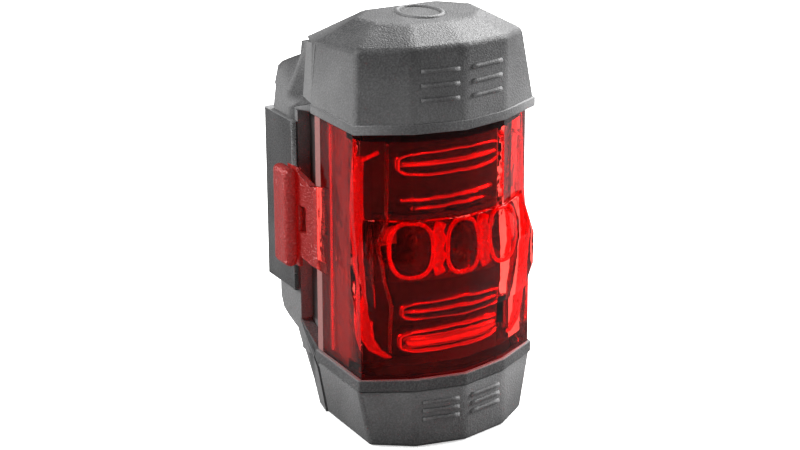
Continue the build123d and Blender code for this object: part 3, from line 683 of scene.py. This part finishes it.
def add_block(form, middle, size):
    """Edges of a new block of one size about its middle."""
    block = bmesh.ops.create_cube(form, size=1)["verts"]
    bmesh.ops.scale(form, verts=block, vec=size)
    bmesh.ops.translate(form, verts=block, vec=middle)
    return edges_at(block)


def runs_down_nose(edge):
    """Whether an edge is the crease between the two nose facets, outside or inside."""
    farthest = max(abs(vert.co.x) for vert in edge.verts)
    return farthest < nearly and edge.calc_length() > shortest_crease


form = take_form("lens")
for side in (-1, 1):
    stem_end = cut_across(form, (side * bar_inner, 0, 0), (side, 0, 0), clear_outer=True)
    bmesh.ops.holes_fill(form, edges=stem_end)
cut_across(form, (0, pale_line, 0), (0, 1, 0))
soften(form, width=0.0002, segments=2, spared=runs_down_nose)
for edge in form.edges:
    edge.smooth = not runs_down_nose(edge)
for side in (-1, 1):
    bar = add_block(
        form,
        middle=(
            side * (bar_outer + bar_inner) / 2, (bar_rear + bar_front) / 2,
            (bar_top + bar_bottom) / 2,
        ),
        size=(bar_outer - bar_inner, bar_rear - bar_front, bar_top - bar_bottom),
    )
    round_edges(form, bar, width=0.0008, segments=4)
for face in form.faces:
    spot = face.calc_center_median()
    if abs(spot.x) > hook_start:
        face.material_index = frosted_index
    elif abs(abs(spot.x) - side_wall) < nearly and spot.y > pale_line:
        face.material_index = pale_index
lens_cover = make_piece(form, "lens_cover", red_clear, red_frosted, pale_edge)
attach(lens_cover, "lamp")
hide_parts("lens")

# Rims, rear shell and saddle pad: soft grey rubber moulded with a fine stipple. The rims
# frame the lens, four screws hold the rear shell on the housing, and the pad lies in the
# groove of the shell.
# Its edges are paled strongly, partly worn and partly a painted highlight along the rounded
# creases.
grey_rubber = new_moulded(
    "grey_rubber", tone=(0.043, 0.043, 0.044), pale_tone=(0.26, 0.26, 0.262),
    roughness=0.5, grain=4400, depth=0.0001, edge_wear_and_highlight=0.6, gloss=0.3,
)
shortest_corner = 0.0015


def round_creases(form, width, segments=4, sharpest=9):
    """Round the long outer corners of a soft cover."""
    creases = [
        edge for edge in form.edges
        if edge.is_manifold and edge.calc_face_angle_signed() > radians(sharpest)
        and edge.calc_length() > shortest_corner
    ]
    round_edges(form, creases, width, segments)


def finish_rubber(form, name, node):
    """Grey rubber piece of the lamp in place of a CAD node."""
    piece = make_piece(form, name, grey_rubber)
    attach(piece, "lamp")
    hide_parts(node)


for node, name in (("upper_band", "upper_rim"), ("lower_band", "lower_rim")):
    form = take_form(node)
    round_creases(form, width=0.0002, segments=3)
    finish_rubber(form, name, node)
form = take_form("rear_shell")
soften(form, width=0.0003)
finish_rubber(form, "rear_skin", "rear_shell")
form = take_form("saddle_pad")
round_creases(form, width=0.0003, segments=3)
finish_rubber(form, "saddle_rubber", "saddle_pad")

# Charge cover: the soft rubber cup under the lens, with plain grip ribs on its nose facets
# and a collar inside that closes round the socket. A thin rubber strap at its back edge
# holds it to the rear shell and bends when it swings down.
cup_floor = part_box("bottom_cap")[0][2]
cup_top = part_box("bottom_cap")[1][2]
cup_wall = 0.0018
base_points = ((0.0122, -0.00645), (0.0122, -0.01865), (0.0070, -0.02225), (0.0, -0.0237))
mouth_points = ((0.0137, -0.00645), (0.0137, -0.0185), (0.0070, -0.0221), (0.0, -0.02355))
cover_rounding = 0.0006
cover_sharpest = 6
collar_points = ((0.00425, -0.0088), (0.00525, -0.0098), (0.00525, -0.0133), (0.00425, -0.0143))
collar_wall = 0.001
collar_sink = 0.0002
collar_foot = cup_floor + cup_wall - collar_sink
collar_top = -0.0233
facet_front = -0.02317
facet_lean = 0.0184
facet_run = (0.007, 0.00145)
rib_spot = (0.0035, 0.00073)
rib_length = 0.0052
rib_radius = 0.00032
rib_steps = 6


def add_nose_ribs(form, levels):
    """Rounded grip ribs that stand half out of both nose facets at each level."""
    for level in levels:
        for side in (-1, 1):
            front = facet_front + facet_lean * level
            middle = Vector((side * rib_spot[0], front + rib_spot[1], level))
            along = Vector((side * facet_run[0], facet_run[1], 0)).normalized() * rib_length
            path = [
                middle - along / 2 + along * step / rib_steps for step in range(rib_steps + 1)
            ]
            sweep(form, path, rib_radius, rib_radius)


def add_outline(form, points, level):
    """Closed ring of edges through the points and their mirror images."""
    outline = list(points) + [(-x, y) for x, y in reversed(points) if x > 0]
    ring = [form.verts.new((x, y, level(y))) for x, y in outline]
    return [form.edges.new((ring[place - 1], ring[place])) for place in range(len(ring))]


form = bmesh.new()
base_ring = add_outline(form, base_points, lambda y: cup_floor)
mouth_ring = add_outline(form, mouth_points, lambda y: cup_top)
bmesh.ops.bridge_loops(form, edges=base_ring + mouth_ring)
bmesh.ops.edgeloop_fill(form, edges=base_ring)
bmesh.ops.recalc_face_normals(form, faces=form.faces)
round_creases(form, cover_rounding, sharpest=cover_sharpest)
bmesh.ops.solidify(form, geom=form.faces[:], thickness=cup_wall)
collar = bmesh.new()
foot_ring = add_outline(collar, collar_points, lambda y: collar_foot)
risen = bmesh.ops.extrude_edge_only(collar, edges=foot_ring)["geom"]
bmesh.ops.translate(
    collar, vec=(0, 0, collar_top - collar_foot),
    verts=[item for item in risen if isinstance(item, bmesh.types.BMVert)],
)
bmesh.ops.recalc_face_normals(collar, faces=collar.faces)
bmesh.ops.solidify(collar, geom=collar.faces[:], thickness=collar_wall)
collar_mesh = bpy.data.meshes.new("collar")
collar.to_mesh(collar_mesh)
collar.free()
form.from_mesh(collar_mesh)
bpy.data.meshes.remove(collar_mesh)
bmesh.ops.recalc_face_normals(form, faces=form.faces)
add_nose_ribs(form, levels=(-0.0228, -0.0240, -0.0252))
charge_cup = make_piece(form, "charge_cup", grey_rubber)
attach(charge_cup, "charge_cover")
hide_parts("bottom_cap")

strap_low, strap_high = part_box("cover_strap")
strap_front = -0.0080
form = bmesh.new()
add_block(
    form,
    middle=(0, (strap_high[1] + strap_front) / 2, (strap_high[2] + strap_low[2]) / 2),
    size=(
        strap_high[0] - strap_low[0], strap_high[1] - strap_front, strap_high[2] - strap_low[2]
    ),
)
lengthwise = [
    edge for edge in form.edges if abs(edge.verts[0].co.y - edge.verts[1].co.y) > nearly
]
bmesh.ops.subdivide_edges(form, edges=lengthwise, cuts=14, use_grid_fill=True)
cup_strap = make_piece(form, "cup_strap", grey_rubber)
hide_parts("cover_strap")
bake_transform(cup_strap)

# Hood: the soft rubber cap over the head, with grip ribs on its nose and a raised ring where
# the thumb presses. Its roof runs on over the press pad as one skin, and the pad's stem
# stands on the switch's plunger.
skin_thickness = 0.0009
seam_level = 0.0160
inside_level = 0.0220
roof_level = 0.0277
shoulder_front = 0.0261
shoulder_fall = 0.1228
rear_lift = 0.035
nose_front = -0.0237
open_rear = -0.0063
wall_points = (
    (0.0138, -0.00615), (0.0138, -0.01783), (0.0070, -0.02143), (0.0, -0.02288),
)
shoulder_points = (
    (0.0119, -0.00123), (0.0127, -0.00615), (0.0127, -0.01640), (0.0070, -0.02125),
    (0.0, -0.02270),
)
plateau_points = (
    (0.0053, -0.0058), (0.0089, -0.0095), (0.0080, -0.0134), (0.0049, -0.0167),
    (0.0, -0.0173),
)
ring_middle = -0.0110
ring_half_width = 0.0028
ring_half_depth = 0.0036
ring_steps = 30


def shoulder_level(y):
    """Height of the sloping shoulder over one Y. Behind the side corners it falls less."""
    lift = rear_lift * max(y - shoulder_points[2][1], 0)
    return shoulder_front - (y - nose_front) * shoulder_fall + lift


form = bmesh.new()
seam_ring = add_outline(form, wall_points, lambda y: seam_level)
crown_ring = add_outline(form, shoulder_points[1:], shoulder_level)
wall = bmesh.ops.bridge_loops(form, edges=seam_ring + crown_ring)["faces"]
bmesh.ops.delete(
    form, context="FACES",
    geom=[face for face in wall if all(vert.co.y > open_rear for vert in face.verts)],
)
roof_ring = add_outline(form, shoulder_points, shoulder_level)
plateau_ring = add_outline(form, plateau_points, lambda y: roof_level)
bmesh.ops.bridge_loops(form, edges=roof_ring + plateau_ring)
bmesh.ops.edgeloop_fill(form, edges=plateau_ring)
bmesh.ops.remove_doubles(form, verts=form.verts, dist=1e-5)
bmesh.ops.recalc_face_normals(form, faces=form.faces)
round_creases(form, cover_rounding, sharpest=cover_sharpest)
outer_verts = set(form.verts)
bmesh.ops.solidify(form, geom=form.faces[:], thickness=skin_thickness)
for vert in form.verts:
    if vert not in outer_verts and vert.co.z > inside_level:
        vert.co.z = max(vert.co.z, shoulder_level(vert.co.y))
bmesh.ops.recalc_face_normals(form, faces=form.faces)
add_nose_ribs(form, levels=(0.0190, 0.0209, 0.0228))
thumb_ring = []
for step in range(ring_steps):
    turn = radians(360 * step / ring_steps)
    y = ring_middle + ring_half_depth * sin(turn)
    thumb_ring.append((ring_half_width * cos(turn), y, roof_level))
sweep(
    form, thumb_ring, half_width=0.00035, half_depth=0.0003, closed=True, facing=(0, 0, 1),
    sides=8,
)
hood_skin = make_piece(form, "hood_skin", grey_rubber)
hood_skin.modifiers.new("even_shading", "WEIGHTED_NORMAL").keep_sharp = True
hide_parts("top_hood", "power_button")
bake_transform(hood_skin)

pad_clearance = 0.00002
form = take_form("power_button")
for vert in form.verts:
    if vert.co.z > roof_level - nearly:
        vert.co.z -= skin_thickness + pad_clearance
press_block = make_piece(form, "press_block", grey_rubber)
attach(press_block, "button")
